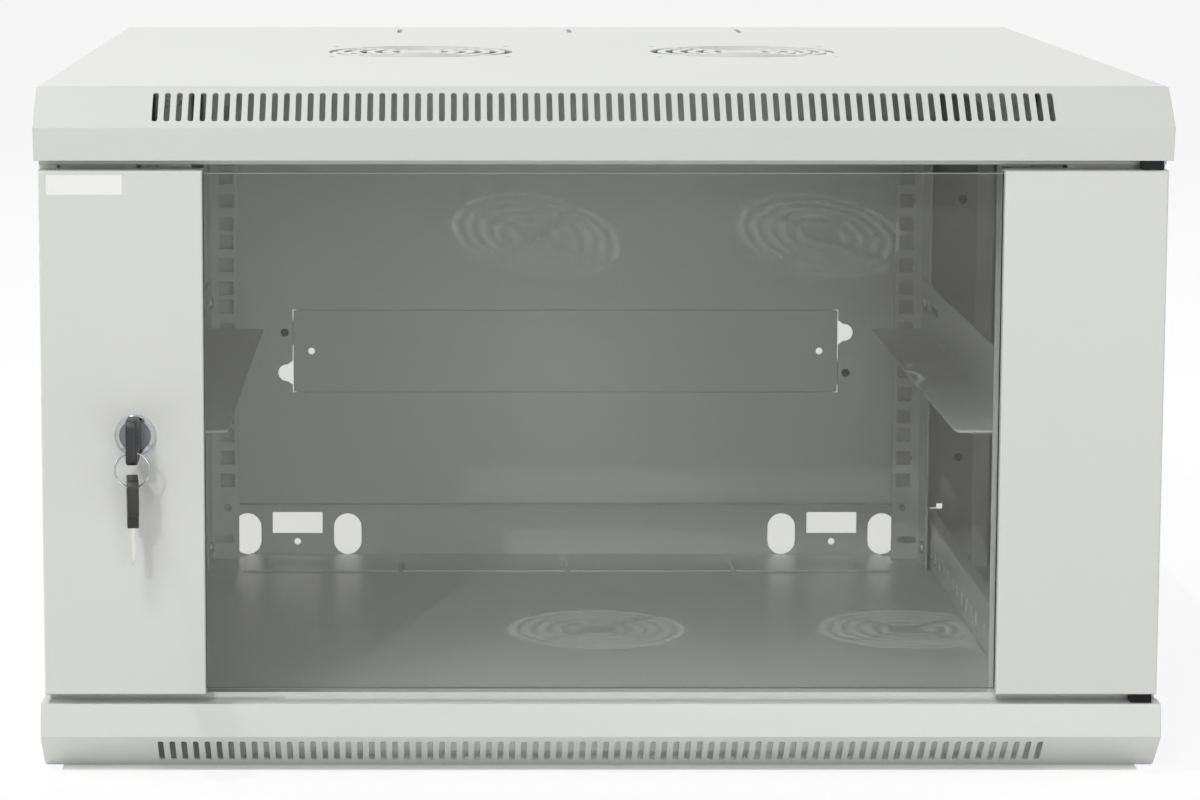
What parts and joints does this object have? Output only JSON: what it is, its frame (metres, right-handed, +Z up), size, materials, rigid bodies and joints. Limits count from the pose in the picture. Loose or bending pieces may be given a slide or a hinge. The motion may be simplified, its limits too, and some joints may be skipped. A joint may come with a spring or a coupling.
{
  "type": "wall mount network cabinet",
  "caption": "Sheet steel wall cabinet for 19 inch equipment: slotted covers, fan grilles, rack rails, lift-off side panels and a glazed front door with a cam lock.",
  "frame": {"origin": "middle of the underside of the bottom cover, halfway between its front and rear planes and its side skirts", "axes": "+X to the right seen from the front, +Y to the back towards the wall, +Z up"},
  "size_m": [0.6, 0.631, 0.368],
  "materials": {
    "light_grey_paint": "fine satin powder coat",
    "tinted_glass": "clear, lightly tinted",
    "black_rubber": "matt",
    "bright_chrome": "polished",
    "zinc_steel": "zinc plated",
    "black_steel": "black oxide",
    "black_plastic": "moulded",
    "black_nylon": "moulded"
  },
  "bodies": {
    "cabinet": {"bottom_cover": "light_grey_paint", "top_cover": "light_grey_paint", "floor_stiffener": "light_grey_paint", "roof_stiffener": "light_grey_paint", "front_post_left": "light_grey_paint", "front_post_right": "light_grey_paint", "rear_post_left": "light_grey_paint", "rear_post_right": "light_grey_paint", "frame_nuts": "zinc_steel", "side_bar_lower_left": "light_grey_paint", "side_bar_lower_right": "light_grey_paint", "side_bar_upper_left": "light_grey_paint", "side_bar_upper_right": "light_grey_paint", "rack_rail_front_left": "light_grey_paint", "rack_rail_front_right": "light_grey_paint", "rack_rail_rear_left": "light_grey_paint", "rack_rail_rear_right": "light_grey_paint", "rail_screws": "zinc_steel", "rail_spacers": "zinc_steel", "rail_nuts": "zinc_steel", "support_angle_left": "light_grey_paint", "support_angle_right": "light_grey_paint", "support_screws": "zinc_steel", "support_nuts": "zinc_steel", "rear_wall": "light_grey_paint", "wall_rivets": "light_grey_paint", "cable_cover_plate": "light_grey_paint", "cable_cover_screws": "black_steel", "hinge_pin_lower": "black_steel", "hinge_block_upper": "black_steel"},
    "door": {"door_panel_left": "light_grey_paint", "door_panel_right": "light_grey_paint", "door_inner_plate_left": "light_grey_paint", "door_inner_plate_right": "light_grey_paint", "door_glass": "tinted_glass", "glass_gasket_left": "black_rubber", "glass_gasket_right": "black_rubber", "hinge_bush_lower": "black_nylon", "hinge_bush_upper": "black_nylon", "hinge_bolt_guide": "light_grey_paint", "hinge_spring": "zinc_steel", "lock_housing": "bright_chrome", "lock_nut": "zinc_steel"},
    "hinge_bolt": {"hinge_bolt": "zinc_steel"},
    "lock_cylinder": {"lock_cylinder": "bright_chrome", "lock_cam": "zinc_steel", "cam_screw": "zinc_steel"},
    "key": {"key_blade": "bright_chrome", "key_head": "black_plastic"},
    "key_ring": {"key_ring": "bright_chrome"},
    "spare_key": {"spare_key_blade": "bright_chrome", "spare_key_head": "black_plastic"},
    "side_panel_left": {"side_panel_left": "light_grey_paint", "latch_bezel_left": "bright_chrome"},
    "side_latch_left": {"side_latch_left": "bright_chrome"},
    "side_panel_right": {"side_panel_right": "light_grey_paint", "latch_bezel_right": "bright_chrome"},
    "side_latch_right": {"side_latch_right": "bright_chrome"}
  },
  "joints": [
    {"name": "door_hinge", "type": "hinge", "parent": "cabinet", "child": "door", "pos_m": [0.29, -0.29, 0.184], "axis": [0, 0, 1], "range_deg": [0, 180]},
    {"name": "hinge_bolt_slide", "type": "slide", "parent": "door", "child": "hinge_bolt", "axis": [0, 0, -1], "range_m": [0, 0.008], "stiffness_N_per_m": 400, "springref_m": -0.01, "deforming": ["hinge_spring"]},
    {"name": "lock_turn", "type": "hinge", "parent": "door", "child": "lock_cylinder", "pos_m": [-0.2478, -0.29, 0.184], "axis": [0, 1, 0], "range_deg": [0, 90]},
    {"name": "key_slide", "type": "slide", "parent": "lock_cylinder", "child": "key", "axis": [0, -1, 0], "range_m": [0, 0.025]},
    {"name": "key_ring_swing", "type": "hinge", "parent": "key", "child": "key_ring", "pos_m": [-0.2478, -0.3188, 0.17812], "axis": [1, 0, 0], "range_deg": [-35, 6]},
    {"name": "spare_key_swing", "type": "hinge", "parent": "key_ring", "child": "spare_key", "pos_m": [-0.2478, -0.3188, 0.15912], "axis": [1, 0, 0], "range_deg": [-35, 6]},
    {"name": "side_panel_left_tilt", "type": "hinge", "parent": "cabinet", "child": "side_panel_left", "pos_m": [-0.2983, 0.0102, 0.0376], "axis": [0, -1, 0], "range_deg": [0, 25]},
    {"name": "side_latch_left_turn", "type": "hinge", "parent": "side_panel_left", "child": "side_latch_left", "pos_m": [-0.297, 0.0102, 0.3048], "axis": [-1, 0, 0], "range_deg": [0, 90]},
    {"name": "side_panel_right_tilt", "type": "hinge", "parent": "cabinet", "child": "side_panel_right", "pos_m": [0.2983, 0.0102, 0.0376], "axis": [0, 1, 0], "range_deg": [0, 25]},
    {"name": "side_latch_right_turn", "type": "hinge", "parent": "side_panel_right", "child": "side_latch_right", "pos_m": [0.297, 0.0102, 0.3048], "axis": [-1, 0, 0], "range_deg": [0, 90]}
  ]
}
